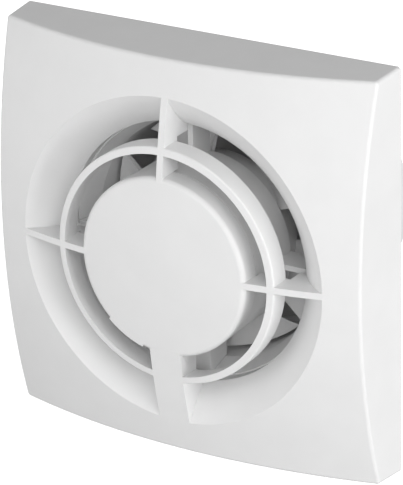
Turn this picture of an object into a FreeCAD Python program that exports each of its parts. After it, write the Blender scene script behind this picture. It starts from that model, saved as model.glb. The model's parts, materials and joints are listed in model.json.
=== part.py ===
import FreeCAD, Part
import math
import os

import Sketcher

# Bathroom extractor fan for a 100 mm duct.
# Origin: on the duct's axis, in the plane of the wall. +Y runs into the wall, -Y faces the room, +Z is up.

V = FreeCAD.Vector
PARTS_FOLDER = "parts"

# Driving dimensions, in millimetres and degrees. "..._y" is a place along the duct's axis.
DIMENSIONS = {
    # front cover
    "cover_width": 158.0,
    "side_draft": 0.07,
    "dome_height": 38.0,
    "dome_radius": 277.0,
    "cover_wall": 2.2,
    "cover_rim_y": -0.4,
    "edge_rounding": 1.5,
    "recess_radius": 63.65,
    "collar_radius": 50.65,
    "collar_turn_y": -19.0,
    "collar_rear_y": -14.5,
    "flare_radius": 40.0,
    "ring_radius": 46.0,
    "ring_face": 2.8,
    "ring_draft": 0.6,
    "ring_rear_y": -25.8,
    "ring_rounding": 0.7,
    "disc_radius": 34.8,
    "disc_rear_y": -27.8,
    "disc_rounding": 1.9,
    "spoke_width": 2.5,
    "spoke_rear_y": -25.0,
    "spoke_step_radius": 47.5,
    "spoke_root_y": -17.7,
    "bridge_width": 13.0,
    "tab_angle": 27.4,
    "peg_radius": 3.0,
    "peg_end_y": -5.0,
    "peg_x": 38.0,
    "peg_z": 67.0,
    # back casing
    "casing_width": 152.0,
    "casing_rounding": 3.0,
    "plate_y": -2.4,
    "throat_y": -14.2,
    "throat_mouth_radius": 50.2,
    "throat_outer_radius": 52.3,
    "bore_radius": 47.2,
    "bore_start_y": -4.0,
    "spigot_radius": 49.0,
    "spigot_end_y": 62.0,
    "spigot_chamfer": 1.0,
    "wall_hole_spacing": 134.0,
    "wall_hole_radius": 2.25,
    "socket_radius": 5.0,
    "socket_end_y": -12.0,
    "peg_clearance": 0.3,
    "foot_radius_place": 57.5,
    "boss_radius": 4.0,
    "boss_y": -8.0,
    "pilot_radius": 1.3,
    # motor carrier
    "arm_thickness": 2.1,
    "arm_slot": 2.5,
    "arm_rear_y": -2.5,
    "duct_arm_width": 12.0,
    "lead_groove_width": 8.0,
    "lead_groove_y": -12.4,
    "cup_radius": 34.4,
    "cup_wall": 2.0,
    "cup_floor_y": -4.5,
    "floor_hole_radius": 20.0,
    "foot_width": 9.0,
    "foot_end_radius": 62.0,
    "foot_y": -10.4,
    # motor cap
    "cap_front_y": -27.2,
    "cap_wall": 1.6,
    "cap_nose_radius": 10.6,
    "cap_nose_y": -32.0,
    "part_gap": 0.2,
    # motor
    "stator_radius": 29.0,
    "stator_ring_inner": 24.5,
    "stack_front_y": -19.7,
    "stack_rear_y": -10.7,
    "pole_width": 8.0,
    "shoe_radius": 15.6,
    "stator_bore": 13.2,
    "shoe_angle": 70.0,
    "rotor_radius": 12.8,
    "shaft_radius": 2.5,
    "shaft_front_y": -28.6,
    "shaft_rear_y": 12.0,
    "bearing_radius": 5.0,
    "bearing_length": 6.0,
    "bracket_boss_radius": 7.5,
    "bracket_wall": 1.5,
    "bolt_circle": 26.7,
    "motor_screw_circle": 23.5,
    # impeller
    "hub_front_y": -1.6,
    "hub_rear_y": 9.4,
    "hub_front_radius": 33.0,
    "hub_rear_radius": 30.8,
    "hub_wall": 1.8,
    "tip_radius": 45.9,
    "blade_count": 6,
    "blade_phase": -22.0,
    "blade_root_thickness": 1.8,
    "blade_tip_thickness": 1.2,
    # back-draught shutter
    "shutter_y": 34.0,
    "flap_radius": 46.6,
    "flap_thickness": 1.0,
    "stop_radius": 45.6,
    "spindle_radius": 1.5,
    "knuckle_radius": 2.6,
    # wiring
    "block_x": -19.0,
    "block_z": -65.0,
    "pole_pitch": 12.0,
    "lead_y": -10.5,
    "lead_radius": 0.9,
    "lead_offset": 2.5,
    "cable_x": 20.0,
    "cable_z": -66.0,
    "cable_radius": 3.5,
    "clamp_x": 3.5,
}

doc = FreeCAD.newDocument("extractor_fan")
sheet = doc.addObject("Spreadsheet::Sheet", "Sheet")
for row, (alias, number) in enumerate(DIMENSIONS.items(), start=1):
    sheet.set(f"A{row}", alias)
    sheet.set(f"B{row}", str(number))
    sheet.setAlias(f"B{row}", alias)
doc.recompute()


class Size:
    """A size that carries both its number and the sheet expression that gives it."""

    def __init__(self, number, text):
        self.number = number
        self.text = text

    def joined(self, other, sign, number):
        return Size(number, f"({self.text} {sign} {other.text})")

    def __add__(self, other):
        other = as_size(other)
        return self.joined(other, "+", self.number + other.number)

    def __sub__(self, other):
        other = as_size(other)
        return self.joined(other, "-", self.number - other.number)

    def __mul__(self, other):
        other = as_size(other)
        return self.joined(other, "*", self.number * other.number)

    def __truediv__(self, other):
        other = as_size(other)
        return self.joined(other, "/", self.number / other.number)

    def __radd__(self, other):
        return as_size(other) + self

    def __rsub__(self, other):
        return as_size(other) - self

    def __rmul__(self, other):
        return as_size(other) * self

    def __neg__(self):
        return as_size(0) - self


def as_size(value):
    return value if isinstance(value, Size) else Size(float(value), f"({float(value)})")


def root(size):
    return Size(math.sqrt(size.number), f"sqrt({size.text})")


def read(alias):
    """The named cell of the sheet as a Size."""
    return Size(float(sheet.get(alias)), f"Sheet.{alias}")


D = {alias: read(alias) for alias in DIMENSIONS}

HALF_TURN = 180.0
ALONG_Y = FreeCAD.Rotation(V(1, 0, 0), -90)
MM = 1.0
CLEARANCE = 0.05 * MM


def dome_y(radius, inset=0):
    """Where the domed front lies at a radius, for a surface set back inside it by inset."""
    radius = as_size(radius)
    sphere = D["dome_radius"] - inset
    return D["dome_radius"] - D["dome_height"] - root(sphere * sphere - radius * radius)


# ---------------------------------------------------------------- helpers: placing and joining


def bind(obj, sizes):
    for name, size in sizes.items():
        obj.setExpression(name, as_size(size).text)


def put(obj, x=0, y=0, z=0, turn=None):
    """Place obj with its base at x, y, z, keeping the base tied to the sheet."""
    base = [as_size(value) for value in (x, y, z)]
    rotation = turn if turn is not None else obj.Placement.Rotation
    obj.Placement = FreeCAD.Placement(V(*[value.number for value in base]), rotation)
    for axis, value in zip("xyz", base):
        obj.setExpression(f"Placement.Base.{axis}", value.text)


def about_duct(degrees):
    """A turn about the duct's axis, clockwise as seen from the room."""
    return FreeCAD.Rotation(V(0, 1, 0), degrees)


def hours(count):
    return 30.0 * count


def box(name, x, y, z):
    """A box from three (low, high) pairs."""
    obj = doc.addObject("Part::Box", name)
    spans = [(as_size(low), as_size(high)) for low, high in (x, y, z)]
    bind(obj, {side: high - low for side, (low, high) in zip(("Length", "Width", "Height"), spans)})
    put(obj, *[low for low, _ in spans])
    return obj


def rod(name, radius, y, x=0, z=0):
    """A cylinder along Y over a (low, high) pair."""
    low, high = as_size(y[0]), as_size(y[1])
    obj = doc.addObject("Part::Cylinder", name)
    bind(obj, {"Radius": radius, "Height": high - low})
    put(obj, x, low, z, ALONG_Y)
    return obj


def sector_start(angle):
    """How far clockwise from +Z a cylinder's sector has its middle: it starts on +X and runs towards -Z."""
    return 90.0 + angle.number / 2


def rod_along_z(name, radius, z, x=0, y=0):
    low, high = as_size(z[0]), as_size(z[1])
    obj = doc.addObject("Part::Cylinder", name)
    bind(obj, {"Radius": radius, "Height": high - low})
    put(obj, x, y, low)
    return obj


def fuse(name, shapes):
    obj = doc.addObject("Part::MultiFuse", name)
    obj.Shapes = shapes
    obj.Refine = True
    return obj


def cut(name, base, tools):
    obj = doc.addObject("Part::Cut", name)
    obj.Base = base
    obj.Tool = tools[0] if len(tools) == 1 else fuse(f"{name}_tools", tools)
    obj.Refine = True
    return obj


def common(name, base, tool):
    obj = doc.addObject("Part::MultiCommon", name)
    obj.Shapes = [base, tool]
    obj.Refine = True
    return obj


def group(name, shapes):
    """Separate solids that share one node."""
    obj = doc.addObject("Part::Compound", name)
    obj.Links = shapes
    return obj


def copy_of(shape, x=0, y=0, z=0, degrees=0):
    """The same shape again, turned about the duct's axis and moved."""
    obj = group(f"{shape.Name}_copy", [shape])
    put(obj, x, y, z, about_duct(degrees))
    return obj


def around(shape, angles):
    return [copy_of(shape, degrees=angle) for angle in angles]


def corners(shape, x, z):
    """Four copies, mirrored in place about the duct's axis."""
    x, z = as_size(x), as_size(z)
    return [copy_of(shape, x=sx * x, z=sz * z) for sx in (-1, 1) for sz in (-1, 1)]


# ---------------------------------------------------------------- helpers: sketched bodies


def arc(start, end, radius, side):
    """The short arc from start to end whose centre is on the left (1) or the right (-1) of the chord."""
    chord = end - start
    middle = (start + end) * 0.5
    height = math.sqrt(max(radius**2 - (chord.Length / 2) ** 2, 0.0))
    normal = V(-chord.y, chord.x, 0)
    normal.normalize()
    centre = middle + normal * height * side
    angles = [math.atan2(point.y - centre.y, point.x - centre.x) for point in (start, end)]
    if side < 0:
        angles.reverse()
    return Part.ArcOfCircle(Part.Circle(centre, V(0, 0, 1), radius), *angles)


def draw(sketch, outline):
    """Draw a closed outline of (first, second) corners; a corner that starts an arc adds (radius, side)."""
    places = [V(as_size(corner[0]).number, as_size(corner[1]).number, 0) for corner in outline]
    count = len(outline)
    ends = []
    for index, corner in enumerate(outline):
        start, end = places[index], places[(index + 1) % count]
        if len(corner) == 2:
            sketch.addGeometry(Part.LineSegment(start, end), False)
            ends.append((1, 2))
        else:
            radius, side = as_size(corner[2]), corner[3]
            sketch.addGeometry(arc(start, end, radius.number, side), False)
            ends.append((1, 2) if side > 0 else (2, 1))
    for index in range(count):
        following = (index + 1) % count
        meeting = (index, ends[index][1], following, ends[following][0])
        sketch.addConstraint(Sketcher.Constraint("Coincident", *meeting))
    for index, corner in enumerate(outline):
        first = ends[index][0]
        for kind, value, axis in (("DistanceX", corner[0], -2), ("DistanceY", corner[1], -1)):
            value = as_size(value)
            if value.number == 0:
                sketch.addConstraint(Sketcher.Constraint("PointOnObject", index, first, axis))
                continue
            number = sketch.addConstraint(Sketcher.Constraint(kind, index, first, value.number))
            sketch.setExpression(f"Constraints[{number}]", value.text)
        if len(corner) > 2:
            radius = as_size(corner[2])
            number = sketch.addConstraint(Sketcher.Constraint("Radius", index, radius.number))
            sketch.setExpression(f"Constraints[{number}]", radius.text)


def new_body(name):
    return doc.addObject("PartDesign::Body", name)


def new_sketch(body, name, outline, role="XY_Plane", height=0):
    """A sketch on one of the body's own planes, raised along the plane's normal."""
    sketch = body.newObject("Sketcher::SketchObject", name)
    plane = next(item for item in body.Origin.OriginFeatures if item.Role == role)
    sketch.AttachmentSupport = [(plane, "")]
    sketch.MapMode = "FlatFace"
    if as_size(height).number:
        sketch.AttachmentOffset = FreeCAD.Placement(V(0, 0, as_size(height).number), FreeCAD.Rotation())
        sketch.setExpression("AttachmentOffset.Base.z", as_size(height).text)
    draw(sketch, outline)
    return sketch


def turn_feature(body, kind, name, outline):
    """A Revolution or Groove about the duct's axis, from (radius, y) corners."""
    feature = body.newObject(f"PartDesign::{kind}", name)
    feature.Profile = new_sketch(body, f"{name}_sketch", outline)
    feature.ReferenceAxis = (feature.Profile[0], ["V_Axis"])
    feature.Angle = 2 * HALF_TURN
    doc.recompute()
    return feature


def turned(name, outline):
    """A body turned about the duct's axis."""
    body = new_body(name)
    turn_feature(body, "Revolution", f"{name}_turn", outline)
    return body


def round_edges(body, base, name, radius, wanted):
    """Fillet the edges of base that wanted(edge) picks."""
    doc.recompute()
    names = [f"Edge{i}" for i, edge in enumerate(base.Shape.Edges, start=1) if wanted(edge)]
    fillet = body.newObject("PartDesign::Fillet", name)
    fillet.Base = (base, names)
    fillet.setExpression("Radius", as_size(radius).text)
    doc.recompute()
    return fillet


def front_circle(radius):
    """Picks the foremost circular edge of a radius."""

    def wanted(edge):
        if edge.Degenerated:
            return False
        curve = edge.Curve
        if not isinstance(curve, Part.Circle):
            return False
        return abs(curve.Radius - radius.number) < 0.01 and curve.Center.y < -30

    return wanted


def padded(name, outline, width, role="XY_Plane"):
    """A plate of the outline, half its width each side of the plane."""
    body = new_body(name)
    pad = body.newObject("PartDesign::Pad", f"{name}_pad")
    pad.Profile = new_sketch(body, f"{name}_sketch", outline, role)
    pad.setExpression("Length", as_size(width).text)
    pad.Midplane = True
    doc.recompute()
    return body


# ---------------------------------------------------------------- sizes and places that sub-parts share

THREE_ARMS = (hours(9), hours(0), hours(3))
FOUR_POLES = (hours(0), hours(3), hours(6), hours(9))
MOTOR_SCREW_ANGLES = (hours(1), hours(5), hours(9))
BOLT_ANGLES = (hours(1.5), hours(4.5), hours(7.5), hours(10.5))
MOTOR_SCREW_RADIUS = 1.25 * MM
BOLT_RADIUS = 1.4 * MM
BRACKET_FRONT_Y = D["cap_front_y"] + D["cap_wall"] + 1.4
BRACKET_REAR_Y = D["cup_floor_y"]
REAR_BOSS_Y = as_size(1.0)
FRONT_BOSS_Y = D["shaft_front_y"] - 1.4
SHUTTER_STOP_Y = D["shutter_y"] - D["flap_thickness"] / 2 - 0.3
# Up along the spindle; the other flap's knuckles are the same, turned half round, and sit between these.
KNUCKLE_SPANS = ((8.0, 22.0), (-38.0, -24.0))
IMPELLER_BUSH_RADIUS = 4.5
BUSH_FRONT_Y = 1.6
BLOCK_HALF_DEPTH = 6.0
BLOCK_REAR = -4.5
BLOCK_FRONT = -16.5
CLAMP_SCREWS_Z = (-71.4, -61.6)
CLAMP_REAR = -6.0
CLAMP_BOSS_RADIUS = 2.6
CLAMP_PILOT = 1.1
GROMMET_NECK = 6.9
INSERT_HALF = 2.5
INSERT_HALF_LENGTH = 4.8

NODES = {}


def keep(node, obj):
    """Give a finished sub-part its node's name."""
    obj.Label = node
    NODES[node] = obj


# ---------------------------------------------------------------- front cover


def drafted_block(name, inset, front_y, rear_y):
    """A square block along Y whose sides lean in towards the room by the side draft."""
    front_y, rear_y = as_size(front_y), as_size(rear_y)
    front = D["cover_width"] / 2 - inset + D["side_draft"] * front_y
    rear = D["cover_width"] / 2 - inset + D["side_draft"] * rear_y
    obj = doc.addObject("Part::Wedge", name)
    bind(
        obj,
        {
            "Xmin": -front,
            "Xmax": front,
            "Zmin": -front,
            "Zmax": front,
            "X2min": -rear,
            "X2max": rear,
            "Z2min": -rear,
            "Z2max": rear,
            "Ymin": front_y,
            "Ymax": rear_y,
        },
    )
    return obj


def dome(name, inset=0):
    obj = doc.addObject("Part::Sphere", name)
    bind(obj, {"Radius": D["dome_radius"] - inset})
    put(obj, y=D["dome_radius"] - D["dome_height"])
    return obj


def flare_arc(inset):
    """The flare's arc, set back into its wall by inset: its throat end, its rim end and its radius."""
    radius = D["flare_radius"]
    rim_y = dome_y(D["recess_radius"])
    reach = D["recess_radius"] - D["collar_radius"]
    depth = D["collar_turn_y"] - rim_y
    chord = root(reach * reach + depth * depth)
    height = root(radius * radius - chord * chord / 4)
    centre = D["collar_radius"] + reach / 2 + depth * height / chord
    centre_y = D["collar_turn_y"] - depth / 2 + reach * height / chord
    share = (radius - inset) / radius

    def drawn_in(end_radius, end_y):
        return centre + (end_radius - centre) * share, centre_y + (end_y - centre_y) * share

    throat = drawn_in(D["collar_radius"], D["collar_turn_y"])
    rim = drawn_in(D["recess_radius"], rim_y)
    return throat, rim, radius - inset


def spoke(name, width):
    """A bar from the disc to the flare at 3 o'clock, later trimmed to the dome."""
    front = -D["dome_height"] - 1
    start = D["disc_radius"] - 1.5
    throat, rim, root_arc = flare_arc(D["cover_wall"] / 2)
    outline = [
        (start, front),
        (start, D["disc_rear_y"]),
        (D["cup_radius"] + 0.6, D["disc_rear_y"]),
        (D["cup_radius"] + 0.6, D["spoke_rear_y"]),
        (D["spoke_step_radius"], D["spoke_rear_y"]),
        (D["spoke_step_radius"], D["spoke_root_y"]),
        (throat[0], D["spoke_root_y"]),
        (*throat, root_arc, 1),
        rim,
        (rim[0], front),
    ]
    return padded(name, outline, width)


def front_cover():
    block = drafted_block("cover_block", 0, -D["dome_height"] - 5, D["cover_rim_y"])
    skin = common("cover_skin", block, dome("cover_dome"))
    doc.recompute()
    rounded = doc.addObject("Part::Fillet", "cover_rounded")
    rounded.Base = skin
    open_edge_y = D["cover_rim_y"].number
    radius = D["edge_rounding"].number
    rounded.Edges = [
        (index, radius, radius)
        for index, edge in enumerate(skin.Shape.Edges, start=1)
        if edge.BoundBox.YMin < open_edge_y - 1
    ]
    wall = D["cover_wall"]
    hollow = common(
        "cover_hollow",
        drafted_block("cover_hollow_block", wall, -D["dome_height"], MM),
        dome("cover_hollow_dome", wall),
    )
    recess = rod("cover_recess", D["recess_radius"], (-D["dome_height"] - 5, 0))
    shell = cut("cover_shell", rounded, [hollow, recess])

    # The flare is a shallow arc that meets the collar and the dome at a crease each.
    inner_throat, inner_rim, inner_arc = flare_arc(wall)
    flare = turned(
        "cover_flare",
        [
            (D["collar_radius"], D["collar_rear_y"]),
            (D["collar_radius"], D["collar_turn_y"], D["flare_radius"], 1),
            (D["recess_radius"], dome_y(D["recess_radius"])),
            (*inner_rim, inner_arc, -1),
            inner_throat,
            (D["collar_radius"] + wall, D["collar_turn_y"] + wall),
            (D["collar_radius"] + wall, D["collar_rear_y"]),
        ],
    )

    ring_inner = D["ring_radius"] - D["ring_face"]
    ring = new_body("cover_ring")
    ring_turn = turn_feature(
        ring,
        "Revolution",
        "ring_turn",
        [
            (ring_inner + D["ring_draft"], D["ring_rear_y"]),
            (ring_inner, dome_y(ring_inner), D["dome_radius"], 1),
            (D["ring_radius"], dome_y(D["ring_radius"])),
            (D["ring_radius"], D["ring_rear_y"]),
        ],
    )
    round_edges(ring, ring_turn, "ring_edge", D["ring_rounding"], front_circle(D["ring_radius"]))

    disc = new_body("cover_disc")
    inside = D["disc_radius"] - wall
    disc_turn = turn_feature(
        disc,
        "Revolution",
        "disc_turn",
        [
            (0, -D["dome_height"], D["dome_radius"], 1),
            (D["disc_radius"], dome_y(D["disc_radius"])),
            (D["disc_radius"], D["disc_rear_y"]),
            (inside, D["disc_rear_y"]),
            (inside, dome_y(inside, wall), D["dome_radius"] - wall, -1),
            (0, -D["dome_height"] + wall),
        ],
    )
    round_edges(disc, disc_turn, "disc_edge", D["disc_rounding"], front_circle(D["disc_radius"]))

    # Beside the bridge a short stretch of the disc's rim keeps its sharp edge.
    rim_span = (-D["dome_height"], D["disc_rear_y"])
    sector = rod("cover_rim_sector", D["disc_radius"], rim_span)
    sector.setExpression("Angle", D["tab_angle"].text)
    rim = cut("cover_rim", sector, [rod("cover_rim_inside", inside, rim_span)])
    rim_turn = hours(7) - sector_start(D["tab_angle"])
    bars = around(spoke("cover_spoke", D["spoke_width"]), (hours(0), hours(6), hours(9)))
    bridge = copy_of(spoke("cover_bridge", D["bridge_width"]), degrees=hours(3))
    joined = fuse("cover_grille", bars + [bridge, copy_of(rim, degrees=rim_turn)])
    trimmed = common("cover_grille_trimmed", joined, dome("cover_trim_dome"))

    peg_root = dome_y(Size(77.0, "77.0"), wall / 2)
    pegs = corners(rod("cover_peg", D["peg_radius"], (peg_root, D["peg_end_y"])), D["peg_x"], D["peg_z"])
    keep("front_cover", fuse("front_cover_solid", [shell, flare, ring, disc, trimmed] + pegs))


# ---------------------------------------------------------------- back casing


def screw(name, head_radius, head_height, shank_radius, length):
    """A pan-head screw along +Y with its head's underside at the origin and a cross recess."""
    blank = turned(
        f"{name}_blank",
        [
            (0, -as_size(head_height)),
            (as_size(head_radius) * 0.7, -as_size(head_height)),
            (head_radius, -as_size(head_height) * 0.5),
            (head_radius, 0),
            (shank_radius, 0),
            (shank_radius, as_size(length) - shank_radius),
            (as_size(shank_radius) * 0.3, length),
            (0, length),
        ],
    )
    reach = as_size(head_radius) * 0.6
    slot = as_size(head_radius) * 0.14
    depth = (-as_size(head_height) - 1, -as_size(head_height) * 0.45)
    recess = [
        box(f"{name}_slot", (-reach, reach), depth, (-slot, slot)),
        box(f"{name}_cross", (-slot, slot), depth, (-reach, reach)),
    ]
    return cut(name, blank, recess)


def back_casing():
    half = D["casing_width"] / 2
    plate = new_body("casing_plate")
    pad = plate.newObject("PartDesign::Pad", "casing_plate_pad")
    pad.Profile = new_sketch(
        plate, "casing_plate_sketch", [(-half, -half), (half, -half), (half, half), (-half, half)], "XZ_Plane"
    )
    pad.setExpression("Length", (-D["plate_y"]).text)
    doc.recompute()
    if pad.Shape.BoundBox.YMax > 0.1:
        pad.Reversed = True
    round_edges(
        plate,
        pad,
        "casing_plate_corners",
        D["casing_rounding"],
        lambda edge: abs(edge.BoundBox.YLength - edge.Length) < 0.01,
    )

    tube = turned(
        "casing_tube",
        [
            (D["throat_mouth_radius"], D["throat_y"]),
            (D["throat_outer_radius"], D["throat_y"]),
            (D["throat_outer_radius"], D["plate_y"] / 2),
            (D["spigot_radius"], D["plate_y"] / 2),
            (D["spigot_radius"], D["spigot_end_y"] - D["spigot_chamfer"]),
            (D["spigot_radius"] - D["spigot_chamfer"], D["spigot_end_y"]),
            (D["bore_radius"], D["spigot_end_y"]),
            (D["bore_radius"], SHUTTER_STOP_Y),
            (D["stop_radius"], SHUTTER_STOP_Y),
            (D["stop_radius"], SHUTTER_STOP_Y - 1),
            (D["bore_radius"], SHUTTER_STOP_Y - 2.5),
            (D["bore_radius"], D["bore_start_y"]),
        ],
    )
    boss = rod("casing_boss", D["boss_radius"], (D["boss_y"], D["plate_y"] / 2), z=D["foot_radius_place"])
    socket = rod("casing_socket", D["socket_radius"], (D["socket_end_y"], D["plate_y"] / 2))
    block_pad = box(
        "casing_block_pad",
        (D["block_x"] - D["pole_pitch"], D["block_x"] + D["pole_pitch"]),
        (BLOCK_REAR, D["plate_y"] / 2),
        (D["block_z"] - BLOCK_HALF_DEPTH, D["block_z"] + BLOCK_HALF_DEPTH),
    )
    clamp_bosses = [
        rod(f"casing_clamp_boss_{i}", CLAMP_BOSS_RADIUS, (CLAMP_REAR, D["plate_y"] / 2), D["clamp_x"], z)
        for i, z in enumerate(CLAMP_SCREWS_Z)
    ]
    air_hole = rod("casing_air_hole", D["bore_radius"] + 1, (D["plate_y"] - 1, 1))
    solid = fuse(
        "casing_solid",
        [cut("casing_holed_plate", plate, [air_hole]), tube]
        + around(boss, THREE_ARMS)
        + corners(socket, D["peg_x"], D["peg_z"])
        + [block_pad]
        + clamp_bosses,
    )

    wall_hole = rod("casing_wall_hole", D["wall_hole_radius"], (D["plate_y"] - 1, 1))
    pilot_end_y = -0.6
    pilot = rod("casing_pilot", D["pilot_radius"], (D["boss_y"] - 1, pilot_end_y), z=D["foot_radius_place"])
    peg_bore = D["peg_radius"] + D["peg_clearance"]
    peg_hole = rod("casing_peg_hole", peg_bore, (D["socket_end_y"] - 1, D["plate_y"]))
    slot = box(
        "casing_arm_slot",
        (-D["arm_slot"] / 2, D["arm_slot"] / 2),
        (D["throat_y"] - 1, D["plate_y"]),
        (D["bore_radius"] - 4, D["throat_outer_radius"] + 2),
    )
    duct_slot = box(
        "casing_duct_slot",
        (-D["duct_arm_width"] / 2 - D["part_gap"], D["duct_arm_width"] / 2 + D["part_gap"]),
        (D["throat_y"] - 1, D["plate_y"]),
        (D["bore_radius"] - 4, D["throat_outer_radius"] + 2),
    )
    through_plate = (D["plate_y"] - 1, 1)
    cable_hole = rod("casing_cable_hole", GROMMET_NECK + 0.1, through_plate, D["cable_x"], D["cable_z"])
    reach = D["spigot_radius"] + 2
    spindle_bore = D["spindle_radius"] + CLEARANCE
    spindle_hole = rod_along_z("casing_spindle_hole", spindle_bore, (-reach, reach), y=D["shutter_y"])
    block_pilot_span = (BLOCK_REAR - 1, pilot_end_y)
    block_pilot = rod("casing_block_pilot", D["pilot_radius"], block_pilot_span, D["block_x"], D["block_z"])
    clamp_pilots = [
        rod(f"casing_clamp_pilot_{i}", CLAMP_PILOT, (CLAMP_REAR - 1, pilot_end_y), D["clamp_x"], z)
        for i, z in enumerate(CLAMP_SCREWS_Z)
    ]
    holes = (
        corners(wall_hole, D["wall_hole_spacing"] / 2, D["wall_hole_spacing"] / 2)
        + around(pilot, THREE_ARMS)
        + corners(peg_hole, D["peg_x"], D["peg_z"])
        + around(slot, THREE_ARMS)
        + [copy_of(duct_slot, degrees=hours(6)), cable_hole, block_pilot, spindle_hole]
        + clamp_pilots
    )
    keep("back_casing", cut("back_casing_solid", solid, holes))


# ---------------------------------------------------------------- back-draught shutter

def shutter():
    """Two half-disc flaps on one upright spindle; they close against a rim and open into the duct."""
    middle = D["shutter_y"]
    half = D["flap_thickness"] / 2
    edge = D["knuckle_radius"] + 0.8
    thickness = (middle - half, middle + half)
    disc = rod("flap_disc", D["flap_radius"], thickness)
    span = D["flap_radius"] + 1
    half_disc = common("flap_half", disc, box("flap_side", (edge, span), thickness, (-span, span)))
    parts = [half_disc]
    bores = []
    for index, (low, high) in enumerate(KNUCKLE_SPANS):
        parts.append(rod_along_z(f"flap_knuckle_{index}", D["knuckle_radius"], (low, high), y=middle))
        parts.append(box(f"flap_web_{index}", (D["spindle_radius"] + 0.4, edge + 1), thickness, (low, high)))
        bores.append(
            rod_along_z(f"flap_bore_{index}", D["spindle_radius"] + CLEARANCE, (low - 1, high + 1), y=middle)
        )
    flap = cut("flap", fuse("flap_solid", parts), bores)
    keep("shutter_flap_right", copy_of(flap))
    keep("shutter_flap_left", copy_of(flap, degrees=HALF_TURN))
    end = D["spigot_radius"] - 0.4
    keep("shutter_spindle", copy_of(rod_along_z("spindle_rod", D["spindle_radius"], (-end, end), y=middle)))

    wire, pitch, turns = 0.25, 0.62, 6
    coil_radius = D["spindle_radius"].number + 0.1 + wire
    helix = Part.makeHelix(pitch, pitch * turns, coil_radius)
    section = Part.Wire([Part.Circle(V(coil_radius, 0, 0), V(0, 1, 0), wire).toShape()])
    coil = doc.addObject("Part::Feature", "shutter_spring")
    coil.Shape = Part.Wire(helix).makePipeShell([section], True, True)
    apart = 2.0
    places = (apart, -apart - pitch * turns)
    keep("shutter_springs", group("shutter_springs_group", [copy_of(coil, y=middle, z=z) for z in places]))


# ---------------------------------------------------------------- motor carrier and cap

def motor_carrier():
    wall = D["cup_wall"]
    cup = turned(
        "carrier_cup",
        [
            (D["cup_radius"], D["throat_y"]),
            (D["cup_radius"], D["arm_rear_y"]),
            (D["floor_hole_radius"], D["arm_rear_y"]),
            (D["floor_hole_radius"], D["cup_floor_y"]),
            (D["cup_radius"] - wall, D["cup_floor_y"]),
            (D["cup_radius"] - wall, D["throat_y"]),
        ],
    )
    half = D["arm_thickness"] / 2
    arm = fuse(
        "carrier_arm",
        [
            box(
                "carrier_arm_bar",
                (-half, half),
                (D["throat_y"], D["arm_rear_y"]),
                (D["cup_radius"] - 1, D["throat_outer_radius"] + 1.5),
            ),
            box(
                "carrier_arm_foot",
                (-D["foot_width"] / 2, D["foot_width"] / 2),
                (D["foot_y"], D["boss_y"]),
                (D["throat_outer_radius"] + 0.6, D["foot_end_radius"]),
            ),
        ],
    )
    foot_bore = D["pilot_radius"] + 0.3
    through_foot = (D["foot_y"] - 1, D["boss_y"] + 1)
    foot_hole = rod("carrier_foot_hole", foot_bore, through_foot, z=D["foot_radius_place"])
    duct_half = D["duct_arm_width"] / 2
    duct_arm = box(
        "carrier_duct_arm",
        (-duct_half, duct_half),
        (D["throat_y"], D["arm_rear_y"]),
        (D["cup_radius"] - 1, D["throat_outer_radius"] + 1),
    )
    groove_half = D["lead_groove_width"] / 2
    groove = box(
        "carrier_lead_groove",
        (-groove_half, groove_half),
        (D["lead_groove_y"], D["arm_rear_y"] + 1),
        (D["cup_radius"] - wall - 1, D["throat_outer_radius"] + 3),
    )
    motor_hole = rod(
        "carrier_motor_hole",
        MOTOR_SCREW_RADIUS + 0.2,
        (D["cup_floor_y"] - 1, D["arm_rear_y"] + 1),
        z=D["motor_screw_circle"],
    )
    solid = fuse("carrier_solid", [cup, copy_of(duct_arm, degrees=hours(6))] + around(arm, THREE_ARMS))
    holes = around(foot_hole, THREE_ARMS) + around(motor_hole, MOTOR_SCREW_ANGLES)
    holes.append(copy_of(groove, degrees=hours(6)))
    keep("motor_carrier", cut("motor_carrier_solid", solid, holes))


def motor_cap():
    wall = D["cap_wall"]
    outer = D["cup_radius"]
    rear = D["throat_y"] - D["part_gap"]
    keep(
        "motor_cap",
        turned(
            "motor_cap_body",
            [
                (0, D["cap_nose_y"]),
                (D["cap_nose_radius"] - 1, D["cap_nose_y"]),
                (D["cap_nose_radius"], D["cap_nose_y"] + 1),
                (D["cap_nose_radius"], D["cap_front_y"]),
                (outer - 0.5, D["cap_front_y"]),
                (outer, D["cap_front_y"] + 0.5),
                (outer, rear),
                (outer - D["cup_wall"], rear),
                (outer - D["cup_wall"], D["cap_front_y"] + wall),
                (D["cap_nose_radius"] - wall, D["cap_front_y"] + wall),
                (D["cap_nose_radius"] - wall, D["cap_nose_y"] + wall),
                (0, D["cap_nose_y"] + wall),
            ],
        ),
    )


# ---------------------------------------------------------------- motor

def bracket_outline(rim_y, web_y, boss_y, direction):
    """Half-section of a bearing bracket whose web faces the wall (direction 1) or the room (-1)."""
    rim = D["stator_radius"] - 0.1
    thin = D["bracket_wall"]
    inner_web_y = web_y - direction * thin
    housing = D["bearing_radius"] + CLEARANCE
    return [
        (rim, rim_y),
        (rim, web_y),
        (D["bracket_boss_radius"], web_y),
        (D["bracket_boss_radius"], boss_y),
        (D["shaft_radius"] + 1, boss_y),
        (D["shaft_radius"] + 1, boss_y - direction * 1.2),
        (housing, boss_y - direction * 1.2),
        (housing, inner_web_y - direction * 2),
        (D["bracket_boss_radius"], inner_web_y - direction * 2),
        (D["bracket_boss_radius"], inner_web_y),
        (rim - 2, inner_web_y),
        (rim - 2, rim_y),
    ]


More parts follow.
